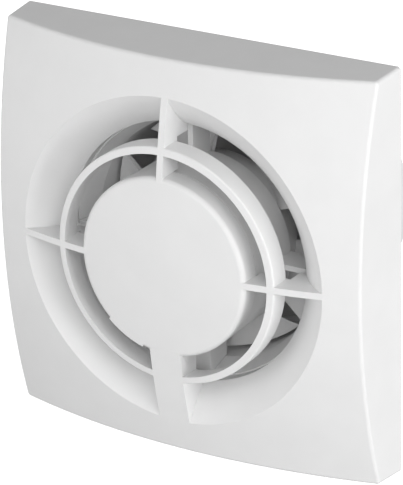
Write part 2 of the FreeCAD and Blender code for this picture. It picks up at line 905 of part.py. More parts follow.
def bearing(name, boss_y, direction):
    """A plain sintered bush seated against the lip of its bracket's boss."""
    outer_end = boss_y - direction * 1.3
    inner_end = outer_end - direction * D["bearing_length"]
    bore = D["shaft_radius"] + CLEARANCE
    keep(
        name,
        turned(
            f"{name}_body",
            [
                (bore, outer_end),
                (D["bearing_radius"], outer_end),
                (D["bearing_radius"], inner_end),
                (bore, inner_end),
            ],
        ),
    )
    return inner_end


def motor():
    stack = (D["stack_front_y"], D["stack_rear_y"])
    margin = 1
    through = (stack[0] - margin, stack[1] + margin)
    yoke = cut(
        "stator_yoke",
        rod("stator_outer", D["stator_radius"], stack),
        [rod("stator_window", D["stator_ring_inner"], through)],
    )
    neck_half = D["pole_width"] / 2
    neck_span = (D["shoe_radius"] - 1, D["stator_ring_inner"] + 0.5)
    neck = box("stator_neck", (-neck_half, neck_half), stack, neck_span)
    shoe = rod("stator_shoe", D["shoe_radius"], stack)
    shoe.setExpression("Angle", D["shoe_angle"].text)
    shoes = around(shoe, [angle - sector_start(D["shoe_angle"]) for angle in FOUR_POLES])
    bore = rod("stator_bore_tool", D["stator_bore"], through)
    loop_slot = shading_loop("stator_loop_slot", CLEARANCE)
    bolt_hole = rod("stator_bolt_hole", BOLT_RADIUS + CLEARANCE, through, z=D["bolt_circle"])
    lamination = fuse("stator_solid", [yoke] + around(neck, FOUR_POLES) + shoes)
    keep(
        "stator_laminations",
        cut(
            "stator_laminations_solid",
            lamination,
            [bore] + around(loop_slot, FOUR_POLES) + around(bolt_hole, BOLT_ANGLES),
        ),
    )
    keep("shading_rings", group("shading_rings_group", around(shading_loop("shading_loop", 0), FOUR_POLES)))

    bobbin_in, bobbin_out = D["shoe_radius"] + 0.2, D["stator_ring_inner"] - 1.6
    middle = (D["stack_front_y"] + D["stack_rear_y"]) / 2
    half_stack = (D["stack_rear_y"] - D["stack_front_y"]) / 2

    def frame_box(name, half_x, half_y, z):
        return box(name, (-as_size(half_x), half_x), (middle - half_y, middle + half_y), z)

    hole = frame_box("bobbin_hole", neck_half + 0.1, half_stack + 0.1, (bobbin_in - 1, bobbin_out + 1))
    sleeve = frame_box("bobbin_sleeve", neck_half + 1, half_stack + 1, (bobbin_in, bobbin_out))
    flanges = [
        frame_box("bobbin_flange_in", 7.4, half_stack + 2.8, (bobbin_in, bobbin_in + 1)),
        frame_box("bobbin_flange_out", 7.4, half_stack + 2.8, (bobbin_out - 1, bobbin_out)),
    ]
    bobbin = cut("bobbin", fuse("bobbin_solid", [sleeve] + flanges), [hole])
    keep("coil_bobbins", group("coil_bobbins_group", around(bobbin, FOUR_POLES)))
    winding_span = (bobbin_in + 1.05, bobbin_out - 1.05)
    winding = cut(
        "winding",
        frame_box("winding_block", 7.0, half_stack + 2.4, winding_span),
        [frame_box("winding_hole", neck_half + 1.05, half_stack + 1.05, (bobbin_in, bobbin_out))],
    )
    keep("coil_windings", group("coil_windings_group", around(winding, FOUR_POLES)))

    rotor_bore = D["shaft_radius"] + 0.02
    ring_length = 2.4
    keep(
        "rotor_core",
        turned(
            "rotor_core_body",
            [
                (rotor_bore, stack[0]),
                (D["rotor_radius"], stack[0]),
                (D["rotor_radius"], stack[1]),
                (rotor_bore, stack[1]),
            ],
        ),
    )
    ring_in, ring_out = D["rotor_radius"] - 5, D["rotor_radius"] - 0.6
    ring_spans = ((stack[0] - ring_length, stack[0]), (stack[1], stack[1] + ring_length))
    end_rings = [
        turned(f"rotor_ring_{index}", [(ring_in, low), (ring_out, low), (ring_out, high), (ring_in, high)])
        for index, (low, high) in enumerate(ring_spans)
    ]
    keep("rotor_end_rings", group("rotor_end_rings_group", end_rings))
    tip = D["shaft_radius"] - 0.4
    keep(
        "motor_shaft",
        turned(
            "motor_shaft_body",
            [
                (0, D["shaft_front_y"]),
                (tip, D["shaft_front_y"]),
                (D["shaft_radius"], D["shaft_front_y"] + 0.4),
                (D["shaft_radius"], D["shaft_rear_y"] - 0.4),
                (tip, D["shaft_rear_y"]),
                (0, D["shaft_rear_y"]),
            ],
        ),
    )

    bolt_hole_long = rod(
        "bracket_bolt_hole",
        BOLT_RADIUS + CLEARANCE,
        (BRACKET_FRONT_Y - 9, BRACKET_REAR_Y + 9),
        z=D["bolt_circle"],
    )
    screw_hole = rod(
        "bracket_screw_hole",
        MOTOR_SCREW_RADIUS + CLEARANCE,
        (BRACKET_REAR_Y - 3, BRACKET_REAR_Y + 1),
        z=D["motor_screw_circle"],
    )
    gap_half = 4.5
    lead_gap = box(
        "bracket_lead_gap",
        (-gap_half, gap_half),
        (BRACKET_FRONT_Y + D["bracket_wall"], stack[0] + 1),
        (D["stator_radius"] - 3.5, D["stator_radius"] + 2),
    )
    front = turned("front_bracket_body", bracket_outline(stack[0], BRACKET_FRONT_Y, FRONT_BOSS_Y, -1))
    rear = turned("rear_bracket_body", bracket_outline(stack[1], BRACKET_REAR_Y, REAR_BOSS_Y, 1))
    keep(
        "front_bracket",
        cut(
            "front_bracket_solid",
            front,
            around(bolt_hole_long, BOLT_ANGLES) + [copy_of(lead_gap, degrees=hours(6))],
        ),
    )
    keep(
        "rear_bracket",
        cut(
            "rear_bracket_solid",
            rear,
            around(bolt_hole_long, BOLT_ANGLES) + around(screw_hole, MOTOR_SCREW_ANGLES),
        ),
    )
    front_inner = bearing("front_bearing", FRONT_BOSS_Y, -1)
    rear_inner = bearing("rear_bearing", REAR_BOSS_Y, 1)

    washer_radius = 4.6
    washer_spans = ((front_inner + 0.3, front_inner + 1.0), (rear_inner - 1.0, rear_inner - 0.3))
    washers = [
        turned(
            f"washer_{index}",
            [(rotor_bore, low), (washer_radius, low), (washer_radius, high), (rotor_bore, high)],
        )
        for index, (low, high) in enumerate(washer_spans)
    ]
    keep("thrust_washers", group("thrust_washers_group", washers))

    bolt = screw("bracket_bolt", 2.2, 1.0, BOLT_RADIUS, BRACKET_REAR_Y - BRACKET_FRONT_Y - 0.4)
    keep(
        "bracket_screws",
        group(
            "bracket_screws_group",
            around(copy_of(bolt, y=BRACKET_FRONT_Y, z=D["bolt_circle"]), BOLT_ANGLES),
        ),
    )


def shading_loop(name, grow):
    """A flat copper loop round one third of a pole's shoe, on the pole's clockwise side."""
    middle = (D["stack_front_y"] + D["stack_rear_y"]) / 2
    half_stack = (D["stack_rear_y"] - D["stack_front_y"]) / 2
    wire = 1.0
    low = D["shoe_radius"] - 1.7 - grow
    high = low + wire + 2 * grow
    outer_x, inner_x = 3.4 + grow, 2.4 - grow
    outer = box(
        f"{name}_outer",
        (-outer_x, outer_x),
        (middle - half_stack - wire - grow - 0.1, middle + half_stack + wire + grow + 0.1),
        (low, high),
    )
    inner = box(
        f"{name}_inner",
        (-inner_x, inner_x),
        (middle - half_stack - 0.1 + grow, middle + half_stack + 0.1 - grow),
        (low - 1, high + 1),
    )
    loop_angle = 22
    return copy_of(cut(name, outer, [inner]), degrees=loop_angle)


# ---------------------------------------------------------------- impeller

# One blade's sections, root to tip: height above the axis, leading and trailing x, front and rear y,
# thickness, camber radius.
BLADE_SECTIONS = (
    (28.6, 12.0, -5.0, -0.7, 7.6, D["blade_root_thickness"].number, 34.0),
    (37.5, 18.5, -9.5, -0.8, 8.2, 1.5, 60.0),
    (47.5, 25.0, -30.0, -0.8, 9.8, D["blade_tip_thickness"].number, 130.0),
)


def blade_section(body, name, height, lead_x, trail_x, front_y, rear_y, thickness, camber_radius):
    """A cambered strip at one height, from its leading edge at the front to its trailing edge."""
    lead_x, trail_x = as_size(lead_x), as_size(trail_x)
    slope = math.atan2(rear_y - front_y, lead_x.number - trail_x.number)
    dx = thickness * math.sin(slope) / 2
    dy = thickness * math.cos(slope) / 2
    outline = [
        (lead_x - dx, front_y - dy, camber_radius, 1),
        (trail_x - dx, rear_y - dy),
        (trail_x + dx, rear_y + dy, camber_radius, -1),
        (lead_x + dx, front_y + dy),
    ]
    return new_sketch(body, name, outline, "XY_Plane", height)


def impeller():
    front, rear = D["hub_front_y"], D["hub_rear_y"]
    wall = D["hub_wall"]
    body = new_body("impeller_body")
    hub = turn_feature(
        body,
        "Revolution",
        "impeller_hub",
        [
            (0, front),
            (D["hub_front_radius"], front),
            (D["hub_rear_radius"], rear - 0.8),
            (D["hub_rear_radius"] - 0.8, rear),
            (0, rear),
        ],
    )
    loft = body.newObject("PartDesign::AdditiveLoft", "impeller_blade")
    sketches = [
        blade_section(body, f"blade_section_{index}", *section)
        for index, section in enumerate(BLADE_SECTIONS)
    ]
    loft.Profile = sketches[0]
    loft.Sections = sketches[1:]
    doc.recompute()
    pattern = body.newObject("PartDesign::PolarPattern", "impeller_blades")
    pattern.Originals = [loft]
    axis = next(item for item in body.Origin.OriginFeatures if item.Role == "Y_Axis")
    pattern.Axis = (axis, [""])
    pattern.Angle = 2 * HALF_TURN
    pattern.setExpression("Occurrences", D["blade_count"].text)
    body.Tip = pattern
    doc.recompute()
    clear_front, clear_rear = front - 6, rear + 12
    tip, beyond_tip = D["tip_radius"], D["tip_radius"] + 12
    turn_feature(
        body,
        "Groove",
        "impeller_tip_trim",
        [(tip, clear_front), (beyond_tip, clear_front), (beyond_tip, clear_rear), (tip, clear_rear)],
    )
    boss_radius = 6.5
    bush_bore = IMPELLER_BUSH_RADIUS + 0.02
    turn_feature(
        body,
        "Groove",
        "impeller_hollow",
        [
            (boss_radius, clear_front),
            (D["hub_front_radius"] - wall, clear_front),
            (D["hub_front_radius"] - wall, front),
            (D["hub_rear_radius"] - wall, rear - wall - 0.2),
            (boss_radius, rear - wall - 0.2),
        ],
    )
    turn_feature(
        body,
        "Groove",
        "impeller_bore",
        [
            (0, clear_front),
            (boss_radius + 0.5, clear_front),
            (boss_radius + 0.5, BUSH_FRONT_Y),
            (bush_bore, BUSH_FRONT_Y),
            (bush_bore, clear_rear),
            (0, clear_rear),
        ],
    )
    body.Placement = FreeCAD.Placement(V(0, 0, 0), about_duct(D["blade_phase"].number))
    keep("impeller", body)

    shaft_bore = D["shaft_radius"] + 0.02
    keep(
        "impeller_bush",
        turned(
            "impeller_bush_body",
            [
                (shaft_bore, BUSH_FRONT_Y),
                (IMPELLER_BUSH_RADIUS, BUSH_FRONT_Y),
                (IMPELLER_BUSH_RADIUS, rear),
                (shaft_bore, rear),
            ],
        ),
    )
    keep(
        "shaft_retainer",
        turned(
            "shaft_retainer_body",
            [
                (shaft_bore, rear + 0.5),
                (IMPELLER_BUSH_RADIUS + 1.5, rear + 0.05),
                (IMPELLER_BUSH_RADIUS + 1.5, rear + 0.55),
                (shaft_bore, rear + 1.0),
            ],
        ),
    )


# ---------------------------------------------------------------- fixings of the motor and the carrier


def fixings():
    motor_screw = screw("motor_screw", 2.3, 1.2, MOTOR_SCREW_RADIUS, 3.8)
    # These go in from the wall's side, so they point towards the room.
    flipped = group("motor_screw_flipped", [motor_screw])
    put(flipped, y=D["arm_rear_y"], turn=FreeCAD.Rotation(V(1, 0, 0), HALF_TURN))
    keep(
        "motor_screws",
        group("motor_screws_group", around(copy_of(flipped, z=D["motor_screw_circle"]), MOTOR_SCREW_ANGLES)),
    )
    carrier_screw = screw("carrier_screw", 2.8, 1.6, D["pilot_radius"] - CLEARANCE, 8.0)
    keep(
        "carrier_screws",
        group(
            "carrier_screws_group",
            around(copy_of(carrier_screw, y=D["foot_y"], z=D["foot_radius_place"]), THREE_ARMS),
        ),
    )


# ---------------------------------------------------------------- mains terminals and leads

def terminals():
    x, z, lead_y = D["block_x"], D["block_z"], D["lead_y"]
    pitch = D["pole_pitch"]
    block = box(
        "block_blank",
        (x - pitch, x + pitch),
        (BLOCK_FRONT, BLOCK_REAR),
        (z - BLOCK_HALF_DEPTH, z + BLOCK_HALF_DEPTH),
    )
    along_block = (z - BLOCK_HALF_DEPTH - 1, z + BLOCK_HALF_DEPTH + 1)
    tools = [
        rod("block_screw_hole", 1.7, (BLOCK_FRONT - 1, BLOCK_REAR + 1), x, z),
        rod("block_screw_well", 3.2, (BLOCK_FRONT - 1, BLOCK_REAR - 4), x, z),
        box("block_step", (x - 2.0, x + 2.0), (BLOCK_FRONT - 1, BLOCK_FRONT + 2), along_block),
    ]
    inserts, screws = [], []
    half = INSERT_HALF + CLEARANCE
    insert_screw = screw("insert_screw", 1.7, 1.2, 1.15, 3.2)
    for index, side in enumerate((-1, 1)):
        pole_x = x + side * pitch / 2
        across, deep = (pole_x - half, pole_x + half), (lead_y - half, lead_y + half)
        tools.append(box(f"block_cavity_{index}", across, deep, along_block))
        insert = box(
            f"insert_blank_{index}",
            (pole_x - INSERT_HALF, pole_x + INSERT_HALF),
            (lead_y - INSERT_HALF, lead_y + INSERT_HALF),
            (z - INSERT_HALF_LENGTH, z + INSERT_HALF_LENGTH),
        )
        insert_tools = [rod_along_z(f"insert_bore_{index}", 1.5, (z - 6, z + 6), pole_x, lead_y)]
        for number, offset in enumerate((-2.8, 2.8)):
            place = (pole_x, z + offset)
            tools.append(rod(f"block_well_{index}_{number}", 2.0, (BLOCK_FRONT - 1, lead_y), *place))
            thread_span = (lead_y - INSERT_HALF - 1, lead_y)
            insert_tools.append(rod(f"insert_thread_{index}_{number}", 1.2, thread_span, *place))
            screws.append(copy_of(insert_screw, x=pole_x, y=lead_y - INSERT_HALF - 1.6, z=z + offset))
        inserts.append(cut(f"insert_{index}", insert, insert_tools))
    keep("terminal_block", cut("terminal_block_solid", block, tools))
    keep("terminal_inserts", group("terminal_inserts_group", inserts))
    keep("terminal_screws", group("terminal_screws_group", screws))
    block_screw = screw("block_screw", 2.8, 1.6, D["pilot_radius"] - CLEARANCE, 7.2)
    keep("terminal_block_screw", copy_of(block_screw, x=x, y=BLOCK_REAR - 4, z=z))


def cable_inlet():
    x, z = D["cable_x"], D["cable_z"]
    grommet = turned(
        "grommet_turn",
        [
            (D["cable_radius"], D["plate_y"] - 2.4),
            (GROMMET_NECK + 0.6, D["plate_y"] - 2.4),
            (GROMMET_NECK + 1.6, D["plate_y"] - 1.4),
            (GROMMET_NECK + 1.6, D["plate_y"]),
            (GROMMET_NECK, D["plate_y"]),
            (GROMMET_NECK, 0),
            (D["cable_radius"], 0),
        ],
    )
    keep("cable_grommet", copy_of(grommet, x=x, z=z))
    half_width = 2.6
    bar = box(
        "clamp_bar",
        (D["clamp_x"] - half_width, D["clamp_x"] + half_width),
        (CLAMP_REAR - 5.0, CLAMP_REAR),
        (CLAMP_SCREWS_Z[0] - 2.5, CLAMP_SCREWS_Z[1] + 2.5),
    )
    middle = sum(CLAMP_SCREWS_Z) / 2
    saddle = box(
        "clamp_saddle",
        (D["clamp_x"] - 4, D["clamp_x"] + 4),
        (CLAMP_REAR - 2.6, CLAMP_REAR + 1),
        (middle - 3.2, middle + 3.2),
    )
    holes = [
        rod(f"clamp_hole_{index}", CLAMP_PILOT + 0.3, (CLAMP_REAR - 6, CLAMP_REAR + 1), D["clamp_x"], hole_z)
        for index, hole_z in enumerate(CLAMP_SCREWS_Z)
    ]
    keep("cable_clamp", cut("cable_clamp_solid", bar, [saddle] + holes))
    clamp_screw = screw("clamp_screw", 2.3, 1.3, CLAMP_PILOT - CLEARANCE, 9.6)
    keep(
        "cable_clamp_screws",
        group(
            "cable_clamp_screws_group",
            [copy_of(clamp_screw, x=D["clamp_x"], y=CLAMP_REAR - 5.0, z=hole_z) for hole_z in CLAMP_SCREWS_Z],
        ),
    )


def bent_tube(name, points, radius, bend):
    """A round lead along straight runs joined by tangent arcs."""
    edges = []
    start = points[0]
    for before, corner, after in zip(points, points[1:], points[2:]):
        back = (before - corner).normalize()
        ahead = (after - corner).normalize()
        half = back.getAngle(ahead) / 2
        reach = bend / math.tan(half)
        entry, leave = corner + back * reach, corner + ahead * reach
        centre_side = (back + ahead).normalize()
        middle = corner + centre_side * (bend / math.sin(half) - bend)
        edges.append(Part.LineSegment(start, entry).toShape())
        edges.append(Part.Arc(entry, middle, leave).toShape())
        start = leave
    edges.append(Part.LineSegment(start, points[-1]).toShape())
    path = Part.Wire(edges)
    direction = points[1] - points[0]
    section = Part.Wire([Part.Circle(points[0], direction, radius).toShape()])
    shape = path.makePipeShell([section], True, True)
    expected = math.pi * radius**2 * path.Length
    if abs(shape.Volume - expected) > 0.02 * expected:
        raise ValueError(f"{name}: swept volume is off")
    obj = doc.addObject("Part::Feature", name)
    obj.Shape = shape
    return obj


def leads():
    """From the terminal inserts, round the throat and along the duct arm's groove, to the coils."""
    lead_y = D["lead_y"].number
    rise_y = D["stack_front_y"].number - 1.9
    inside_radius = 30.7
    coil_radius = 22.95
    bend = 1.5
    start_z = D["block_z"].number + INSERT_HALF_LENGTH - 1.2
    for node, side, turn_z in (("lead_live", -1, -54.9), ("lead_neutral", 1, -57.6)):
        start_x = D["block_x"].number + side * D["pole_pitch"].number / 2
        end_x = side * D["lead_offset"].number
        points = [
            V(start_x, lead_y, start_z),
            V(start_x, lead_y, turn_z),
            V(end_x, lead_y, turn_z),
            V(end_x, lead_y, -inside_radius),
            V(end_x, rise_y, -inside_radius),
            V(end_x, rise_y, -coil_radius),
        ]
        keep(node, bent_tube(node, points, D["lead_radius"].number, bend))


# ---------------------------------------------------------------- build, check and write


def check():
    doc.recompute()
    for obj in doc.Objects:
        if {"Invalid", "Error"} & set(obj.State):
            raise RuntimeError(f"{obj.Label}: {obj.State}")
    for node, obj in NODES.items():
        if obj.Shape.isNull() or not obj.Shape.isValid() or not obj.Shape.Solids:
            raise RuntimeError(f"{node}: no valid solid")
        print(f"{node}: {len(obj.Shape.Solids)} solids, {obj.Shape.Volume / 1000:.2f} cm3")


def write():
    os.makedirs(PARTS_FOLDER, exist_ok=True)
    for node, obj in NODES.items():
        obj.Shape.exportStep(os.path.join(PARTS_FOLDER, f"{node}.step"))


front_cover()
back_casing()
shutter()
motor_carrier()
motor_cap()
motor()
impeller()
fixings()
terminals()
cable_inlet()
leads()
check()
write()
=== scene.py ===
"""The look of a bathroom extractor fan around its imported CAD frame: materials, detail, light and camera."""

import json
import math

import bpy
from mathutils import Matrix, Vector


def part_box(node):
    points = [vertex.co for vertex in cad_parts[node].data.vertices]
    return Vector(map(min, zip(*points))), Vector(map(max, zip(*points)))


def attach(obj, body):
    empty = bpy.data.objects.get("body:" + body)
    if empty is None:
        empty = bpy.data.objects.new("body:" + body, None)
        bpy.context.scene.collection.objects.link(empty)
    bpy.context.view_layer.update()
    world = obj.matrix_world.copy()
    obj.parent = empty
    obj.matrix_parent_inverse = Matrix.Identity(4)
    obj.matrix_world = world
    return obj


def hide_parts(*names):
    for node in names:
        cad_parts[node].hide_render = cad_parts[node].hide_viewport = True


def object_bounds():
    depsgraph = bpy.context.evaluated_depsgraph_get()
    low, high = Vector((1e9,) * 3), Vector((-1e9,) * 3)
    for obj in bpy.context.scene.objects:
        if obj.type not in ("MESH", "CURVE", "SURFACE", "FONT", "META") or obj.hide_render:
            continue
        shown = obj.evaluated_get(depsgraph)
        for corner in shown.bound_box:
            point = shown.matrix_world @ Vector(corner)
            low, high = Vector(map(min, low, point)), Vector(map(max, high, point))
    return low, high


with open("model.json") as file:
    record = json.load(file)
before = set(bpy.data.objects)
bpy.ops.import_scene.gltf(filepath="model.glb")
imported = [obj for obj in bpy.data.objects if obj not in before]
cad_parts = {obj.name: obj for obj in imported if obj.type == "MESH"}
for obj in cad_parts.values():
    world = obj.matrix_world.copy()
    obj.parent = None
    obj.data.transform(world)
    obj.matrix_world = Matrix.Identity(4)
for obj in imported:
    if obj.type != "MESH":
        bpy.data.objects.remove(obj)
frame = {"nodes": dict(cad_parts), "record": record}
cad_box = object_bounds()
scene = bpy.context.scene
nodes = frame["nodes"]
MM = 0.001


# ---------------------------------------------------------------- camera

VIEW_AZIMUTH = math.radians(32.29)
VIEW_ELEVATION = math.radians(23.29)
VIEW_ROLL = math.radians(-1.571)
CAMERA_PLACE = Vector((0.55495, -0.88090, 0.43971))
LENS_MM = 226.57
VIEW_SHIFT = (-0.01866, 0.02602)


def add_camera():
    """A long lens to the right of the fan and above it, looking down at its front."""
    back = Vector((
        math.sin(VIEW_AZIMUTH) * math.cos(VIEW_ELEVATION),
        -math.cos(VIEW_AZIMUTH) * math.cos(VIEW_ELEVATION),
        math.sin(VIEW_ELEVATION),
    ))
    right = Vector((math.cos(VIEW_AZIMUTH), math.sin(VIEW_AZIMUTH), 0.0))
    up = back.cross(right)
    turned_right = right * math.cos(VIEW_ROLL) + up * math.sin(VIEW_ROLL)
    turned_up = up * math.cos(VIEW_ROLL) - right * math.sin(VIEW_ROLL)
    data = bpy.data.cameras.new("camera")
    data.lens = LENS_MM
    data.sensor_width = 36.0
    data.sensor_fit = "AUTO"
    data.shift_x, data.shift_y = VIEW_SHIFT
    data.clip_start = 0.01
    camera = bpy.data.objects.new("camera", data)
    camera.matrix_world = Matrix((
        (turned_right.x, turned_up.x, back.x, CAMERA_PLACE.x),
        (turned_right.y, turned_up.y, back.y, CAMERA_PLACE.y),
        (turned_right.z, turned_up.z, back.z, CAMERA_PLACE.z),
        (0.0, 0.0, 0.0, 1.0),
    ))
    scene.collection.objects.link(camera)
    scene.camera = camera


# ---------------------------------------------------------------- light

WORLD_STRENGTH = 0.33
# Each lamp: direction from the fan, power in watts.
LAMPS = {
    "front": ((0.0, -1.0, 0.0), 8.5),
    "right": ((1.0, -0.1, 0.0), 19.6),
    "front_left": ((-0.75, -0.66, 0.0), 6.6),
    "high_right": ((0.6, -0.6, 0.5), 11.8),
}
LAMP_SIDE = 1.2
LAMP_DISTANCE = 1.8
FLOOR_HALF_WIDTH = 80.0
FLOOR_GAP = 2.0 * MM


def add_world():
    world = bpy.data.worlds.new("room")
    world.use_nodes = True
    background = world.node_tree.nodes["Background"]
    background.inputs["Color"].default_value = (1.0, 1.0, 1.0, 1.0)
    background.inputs["Strength"].default_value = WORLD_STRENGTH
    scene.world = world


def add_lamp(name, direction, power):
    """A soft square lamp that faces the fan from a direction."""
    data = bpy.data.lights.new(name, "AREA")
    data.shape = "SQUARE"
    data.size = LAMP_SIDE
    data.energy = power
    lamp = bpy.data.objects.new(name, data)
    towards = Vector(direction).normalized()
    lamp.location = towards * LAMP_DISTANCE
    lamp.rotation_euler = (-towards).to_track_quat("-Z", "Y").to_euler()
    scene.collection.objects.link(lamp)


def add_floor():
    """A plain white floor just under the fan. It is only seen: it neither lights nor shades the fan."""
    half = FLOOR_HALF_WIDTH
    z = cad_box[0].z - FLOOR_GAP
    corners = [(-half, -half, z), (half, -half, z), (half, half, z), (-half, half, z)]
    mesh = bpy.data.meshes.new("floor")
    mesh.from_pydata(corners, [], [(0, 1, 2, 3)])
    floor = bpy.data.objects.new("floor", mesh)
    scene.collection.objects.link(floor)
    material = bpy.data.materials.new("floor")
    material.use_nodes = True
    shader = material.node_tree.nodes["Principled BSDF"]
    shader.inputs["Base Color"].default_value = (0.8, 0.8, 0.8, 1.0)
    shader.inputs["Roughness"].default_value = 1.0
    shader.inputs["Emission Color"].default_value = (1.0, 1.0, 1.0, 1.0)
    shader.inputs["Emission Strength"].default_value = 1.0
    mesh.materials.append(material)
    floor.visible_diffuse = False
    floor.visible_glossy = False
    floor.visible_transmission = False
    floor.visible_shadow = False


# ---------------------------------------------------------------- materials

class Surface:
    """A Principled material whose colour, roughness and relief come from nodes in the fan's own space."""

    def __init__(self, name, roughness=0.5, metallic=0.0, coat=0.0, sheen=0.0):
        self.material = bpy.data.materials.new(name)
        self.material.use_nodes = True
        self.tree = self.material.node_tree
        self.shader = self.tree.nodes["Principled BSDF"]
        self.shader.inputs["Roughness"].default_value = roughness
        self.shader.inputs["Metallic"].default_value = metallic
        self.shader.inputs["Coat Weight"].default_value = coat
        self.shader.inputs["Sheen Weight"].default_value = sheen
        self.place = self.tree.nodes.new("ShaderNodeTexCoord").outputs["Object"]
        self.normal = None

    def add(self, kind, **settings):
        node = self.tree.nodes.new(kind)
        for name, value in settings.items():
            setattr(node, name, value)
        return node

    def link(self, source, target):
        self.tree.links.new(source, target)

    def scaled(self, scale):
        """The place, stretched by a factor along each axis."""
        mapping = self.add("ShaderNodeMapping")
        mapping.inputs["Scale"].default_value = scale
        self.link(self.place, mapping.inputs["Vector"])
        return mapping.outputs["Vector"]

    def noise(self, size, detail=2.0, stretch=(1.0, 1.0, 1.0)):
        """Noise whose features are about size metres across."""
        node = self.add("ShaderNodeTexNoise")
        node.inputs["Scale"].default_value = 1.0 / size
        node.inputs["Detail"].default_value = detail
        self.link(self.scaled(stretch), node.inputs["Vector"])
        return node.outputs["Fac"]

    def bands(self, pitch, axis="Y"):
        """Bands across an axis, one each pitch metres."""
        node = self.add("ShaderNodeTexWave", wave_type="BANDS", bands_direction=axis)
        node.inputs["Scale"].default_value = 2.0 * math.pi / (20.0 * pitch)
        self.link(self.place, node.inputs["Vector"])
        return node.outputs["Fac"]

    def spread(self, source, low, high):
        """The middle of a 0..1 source drawn out to low..high."""
        node = self.add("ShaderNodeMapRange")
        node.inputs["From Min"].default_value = 0.3
        node.inputs["From Max"].default_value = 0.7
        node.inputs["To Min"].default_value = low
        node.inputs["To Max"].default_value = high
        self.link(source, node.inputs["Value"])
        return node.outputs["Result"]

    def colours(self, source, dark, light):
        """The shader's colour, from dark to light with a source."""
        node = self.add("ShaderNodeMix", data_type="RGBA")
        self.link(self.spread(source, 0.0, 1.0), node.inputs["Factor"])
        node.inputs["A"].default_value = (*dark, 1.0)
        node.inputs["B"].default_value = (*light, 1.0)
        self.link(node.outputs["Result"], self.shader.inputs["Base Color"])

    def shine(self, source, low, high):
        self.link(self.spread(source, low, high), self.shader.inputs["Roughness"])

    def relief(self, source, depth):
        """Relief of a depth in metres, on top of any that is there."""
        node = self.add("ShaderNodeBump")
        node.inputs["Strength"].default_value = 1.0
        node.inputs["Distance"].default_value = depth
        self.link(source, node.inputs["Height"])
        if self.normal is not None:
            self.link(self.normal, node.inputs["Normal"])
        self.normal = node.outputs["Normal"]
        self.link(self.normal, self.shader.inputs["Normal"])


def shade(colour, factor):
    return tuple(channel * factor for channel in colour)


def moulded(name, colour, roughness=0.42, grain=0.6 * MM, grain_depth=0.004 * MM, mottle=0.975):
    """Injection-moulded plastic: a faint cloudiness, a fine spark-eroded grain and slow sink in its shine."""
    surface = Surface(name, roughness)
    surface.colours(surface.noise(14 * MM, 3.0), shade(colour, mottle), colour)
    surface.shine(surface.noise(9 * MM, 4.0), roughness - 0.05, roughness + 0.06)
    surface.relief(surface.noise(26 * MM, 1.0), 0.03 * MM)
    surface.relief(surface.noise(grain, 3.0), grain_depth)
    return surface.material


def plated(name, colour, roughness=0.28):
    """Zinc-plated steel: fine turning lines and cloudy plating."""
    surface = Surface(name, roughness, metallic=1.0)
    surface.colours(surface.noise(1.6 * MM, 4.0), shade(colour, 0.82), colour)
    surface.shine(surface.noise(0.5 * MM, 3.0), roughness - 0.08, roughness + 0.12)
    surface.relief(surface.noise(0.25 * MM, 2.0, (1.0, 6.0, 1.0)), 0.006 * MM)
    return surface.material


def cast(name, colour, roughness=0.5):
    """Die-cast aluminium: a pebbled skin with soft flow marks."""
    surface = Surface(name, roughness, metallic=1.0)
    surface.colours(surface.noise(4.0 * MM, 5.0), shade(colour, 0.80), colour)
    surface.shine(surface.noise(1.2 * MM, 3.0), roughness - 0.1, roughness + 0.12)
    surface.relief(surface.noise(0.5 * MM, 4.0), 0.02 * MM)
    return surface.material


def laminated(name, colour, pitch=0.5 * MM):
    """A stack of pressed steel sheets, with a dark varnish line between each two."""
    surface = Surface(name, 0.45, metallic=1.0)
    layers = surface.bands(pitch)
    surface.colours(layers, shade(colour, 0.45), colour)
    surface.shine(surface.noise(2.0 * MM, 4.0), 0.36, 0.58)
    surface.relief(layers, 0.05 * MM)
    surface.relief(surface.noise(0.4 * MM, 3.0), 0.01 * MM)
    return surface.material


def enamelled(name, colour):
    """Copper wire under clear varnish."""
    surface = Surface(name, 0.3, metallic=1.0, coat=0.6)
    surface.colours(surface.noise(1.5 * MM, 3.0), shade(colour, 0.78), colour)
    surface.shine(surface.noise(0.8 * MM, 2.0), 0.24, 0.38)
    surface.relief(surface.noise(0.4 * MM, 2.0), 0.006 * MM)
    return surface.material


def machined(name, colour, roughness=0.25):
    """Turned brass or bronze: close tool marks along the axis and a little tarnish."""
    surface = Surface(name, roughness, metallic=1.0)
    surface.colours(surface.noise(2.5 * MM, 5.0), shade(colour, 0.70), colour)
    surface.shine(surface.noise(1.0 * MM, 3.0), roughness - 0.06, roughness + 0.14)
    surface.relief(surface.bands(0.12 * MM), 0.004 * MM)
    return surface.material


def rubber(name, colour):
    """Moulded rubber: dull, with a bloom on its surface."""
    surface = Surface(name, 0.75, sheen=0.15)
    surface.colours(surface.noise(3.0 * MM, 5.0), shade(colour, 0.7), shade(colour, 1.25))
    surface.shine(surface.noise(1.5 * MM, 3.0), 0.66, 0.85)
    surface.relief(surface.noise(0.3 * MM, 3.0), 0.02 * MM)
    return surface.material


def sheathed(name, colour):
    """Extruded lead insulation: a faint cloudy tone and a fine grain under a soft shine."""
    surface = Surface(name, 0.4)
    surface.colours(surface.noise(4.0 * MM, 3.0), shade(colour, 0.85), shade(colour, 1.1))
    surface.shine(surface.noise(1.0 * MM, 3.0), 0.33, 0.5)
    surface.relief(surface.noise(0.3 * MM, 2.0), 0.008 * MM)
    return surface.material


# ---------------------------------------------------------------- the CAD nodes' surfaces

